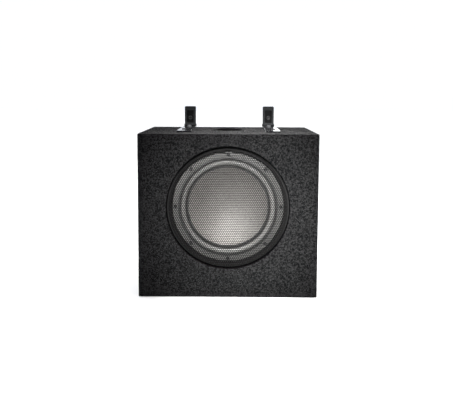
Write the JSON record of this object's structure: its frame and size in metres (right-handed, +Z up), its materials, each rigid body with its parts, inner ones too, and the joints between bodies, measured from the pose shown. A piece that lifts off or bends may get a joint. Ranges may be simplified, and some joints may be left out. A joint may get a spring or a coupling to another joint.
{
  "type": "powered car subwoofer",
  "caption": "Carpeted car subwoofer box with a recessed woofer behind a round perforated grille, a port and upright fixing brackets on top, and an amplifier panel on one side.",
  "frame": {"origin": "centre of the carpeted underside, where the box stands", "axes": "+X to the right seen from the front, +Y from the grille towards the back, +Z up"},
  "size_m": [0.35, 0.2455, 0.3586],
  "materials": {
    "mdf": "raw fibreboard",
    "carpet": "charcoal needle-felt carpet",
    "grille_paint": "black powder coat on perforated steel",
    "ring_plastic": "fine moulded texture",
    "port_plastic": "satin moulded",
    "frame_paint": "grey powder coat",
    "surround_rubber": "satin rubber",
    "cone_skin": "warm silver-grey pressed pulp, satin",
    "coupler_pulp": "pressed pulp",
    "former_foil": "foil",
    "copper_wire": "enamelled copper winding",
    "spider_cloth": "resin-dipped woven cloth",
    "motor_steel": "zinc-passivated steel",
    "ferrite": "sintered ferrite",
    "terminal_board": "paper laminate with plated tabs",
    "tinsel": "braided tinsel",
    "black_screw": "black oxide",
    "bright_screw": "bright zinc",
    "red_lead": "PVC sleeve",
    "black_lead": "PVC sleeve",
    "gloss_black_steel": "gloss black stove enamel",
    "pad_plastic": "fine grained moulding",
    "cast_aluminium": "black anodised die-casting",
    "gasket_foam": "closed-cell foam",
    "tray_steel": "galvanised sheet",
    "board_laminate": "green solder mask",
    "standoff_brass": "nickel-free brass",
    "toroid_wire": "enamelled copper over a core",
    "capacitor_sleeve": "shrink sleeve",
    "component_epoxy": "moulded epoxy",
    "connector_plastic": "moulded nylon",
    "fuse_plastic": "translucent amber nylon",
    "jack_plating": "gold flash",
    "knob_plastic": "satin moulding",
    "led_lens": "diffused lens"
  },
  "bodies": {
    "cabinet": {"front_baffle": "mdf", "driver_baffle": "mdf", "left_panel": "mdf", "right_panel": "mdf", "top_panel": "mdf", "bottom_panel": "mdf", "rear_panel": "mdf", "carpet_wrap": "carpet", "carpet_base": "carpet", "carpet_left": "carpet", "carpet_right": "carpet", "grille": "grille_paint", "grille_ring": "ring_plastic", "port_tube": "port_plastic", "basket": "frame_paint", "surround": "surround_rubber", "spider": "spider_cloth", "top_plate": "motor_steel", "yoke": "motor_steel", "magnet": "ferrite", "driver_terminals": "terminal_board", "tinsel_leads": "tinsel", "driver_screws": "black_screw", "amp_screws": "black_screw", "bracket_bolts": "black_screw", "bracket_wood_screws": "black_screw", "bracket_cap_screws": "bright_screw", "terminal_screws": "bright_screw", "speaker_lead_red": "red_lead", "speaker_lead_black": "black_lead", "bracket_left": "gloss_black_steel", "bracket_right": "gloss_black_steel", "clamp_pad_left": "pad_plastic", "clamp_pad_right": "pad_plastic", "amp_plate": "cast_aluminium", "amp_gasket": "gasket_foam", "amp_housing": "tray_steel", "circuit_board": "board_laminate", "board_standoffs": "standoff_brass", "transformer": "toroid_wire", "filter_capacitors": "capacitor_sleeve", "power_transistors": "component_epoxy", "terminal_block": "connector_plastic", "fuse_holder": "connector_plastic", "level_socket": "connector_plastic", "remote_socket": "connector_plastic", "pot_bodies": "connector_plastic", "switch_bodies": "connector_plastic", "blade_fuses": "fuse_plastic", "rca_jacks": "jack_plating", "power_led": "led_lens"},
    "cone_assembly": {"cone": "cone_skin", "cone_coupler": "coupler_pulp", "coil_former": "former_foil", "voice_coil": "copper_wire"},
    "gain_control": {"gain_knob": "knob_plastic"},
    "lowpass_control": {"lowpass_knob": "knob_plastic"},
    "bass_control": {"bass_knob": "knob_plastic"},
    "phase_switch": {"phase_slider": "knob_plastic"},
    "input_switch": {"input_slider": "knob_plastic"}
  },
  "joints": [
    {"name": "cone_travel", "type": "slide", "parent": "cabinet", "child": "cone_assembly", "axis": [0, -1, 0], "range_m": [-0.007, 0.007], "stiffness_N_per_m": 2500, "deforming": ["surround", "spider", "tinsel_leads"]},
    {"name": "gain_turn", "type": "hinge", "parent": "cabinet", "child": "gain_control", "pos_m": [0.173, -0.036, 0.14], "axis": [1, 0, 0], "range_deg": [-135, 135]},
    {"name": "lowpass_turn", "type": "hinge", "parent": "cabinet", "child": "lowpass_control", "pos_m": [0.173, -0.004, 0.14], "axis": [1, 0, 0], "range_deg": [-135, 135]},
    {"name": "bass_turn", "type": "hinge", "parent": "cabinet", "child": "bass_control", "pos_m": [0.173, 0.028, 0.14], "axis": [1, 0, 0], "range_deg": [-135, 135]},
    {"name": "phase_slide", "type": "slide", "parent": "cabinet", "child": "phase_switch", "axis": [0, 0, 1], "range_m": [0, 0.004]},
    {"name": "input_slide", "type": "slide", "parent": "cabinet", "child": "input_switch", "axis": [0, 0, 1], "range_m": [0, 0.004]}
  ]
}
